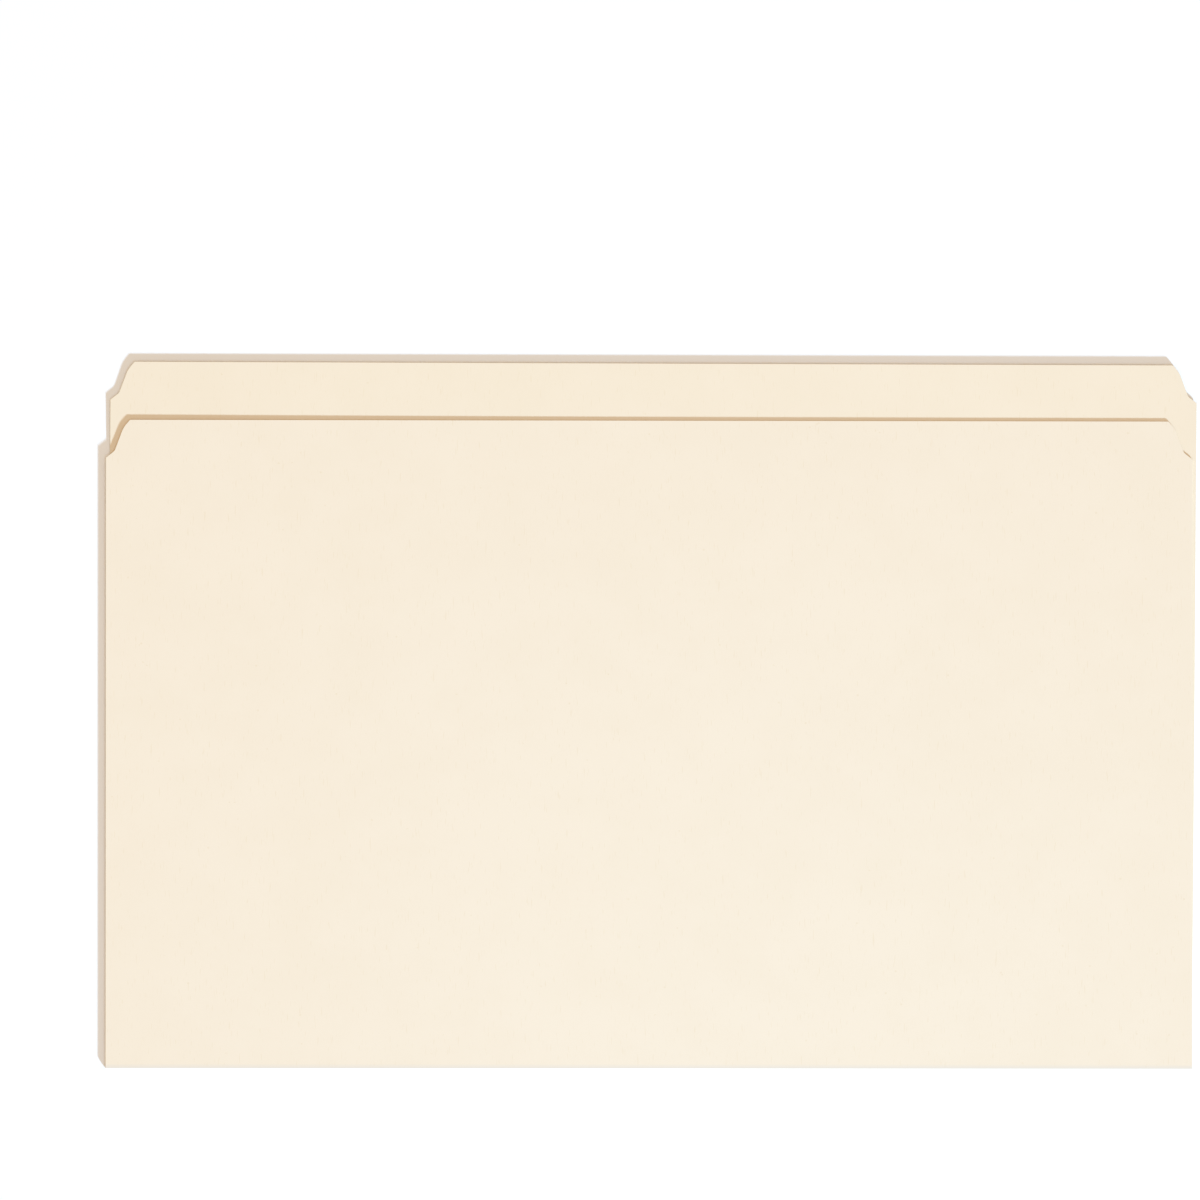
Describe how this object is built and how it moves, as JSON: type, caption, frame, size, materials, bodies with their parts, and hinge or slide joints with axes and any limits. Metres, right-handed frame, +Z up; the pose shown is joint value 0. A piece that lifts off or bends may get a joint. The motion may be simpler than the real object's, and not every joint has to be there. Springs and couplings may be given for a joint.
{
  "type": "file folder",
  "caption": "Flat manila file folder folded from one sheet of board, with a shorter front leaf, a full-width tab on the back leaf and a scored bottom that expands.",
  "frame": {"origin": "centre of the closed folder's bounding box, on the surface that it lies on", "axes": "+X along the fold, +Y from the fold to the tab edge, +Z up out of the surface, from the back leaf to the front leaf"},
  "size_m": [0.3746, 0.2436, 0.001],
  "materials": {
    "back_board": "uncoated manila board, matte, with a fine felt texture and faint mottle",
    "strip_board": "uncoated manila board, matte, with pressed score lines",
    "spine_board": "uncoated manila board, matte, slightly burnished where it is folded",
    "front_board": "uncoated manila board, matte, with a fine felt texture and faint mottle"
  },
  "bodies": {
    "back_leaf": {"back_leaf": "back_board"},
    "bottom_panel": {"expansion_strip_3": "strip_board", "expansion_strip_2": "strip_board", "expansion_strip_1": "strip_board"},
    "fold_spine": {"fold_spine": "spine_board"},
    "front_leaf": {"front_leaf": "front_board"}
  },
  "joints": [
    {"name": "bottom_expand", "type": "hinge", "parent": "back_leaf", "child": "bottom_panel", "pos_m": [0, -0.10275, 0.00014], "axis": [-1, 0, 0], "range_deg": [0, 90]},
    {"name": "spine_unbend", "type": "hinge", "parent": "bottom_panel", "child": "fold_spine", "pos_m": [0, -0.12166, 0.00014], "axis": [1, 0, 0], "range_deg": [0, 90]},
    {"name": "cover_open", "type": "hinge", "parent": "fold_spine", "child": "front_leaf", "pos_m": [0, -0.12166, 0.00082], "axis": [1, 0, 0], "range_deg": [0, 180]}
  ],
  "couplings": [
    {"joint": "spine_unbend", "follows": "bottom_expand", "ratio": 1}
  ]
}
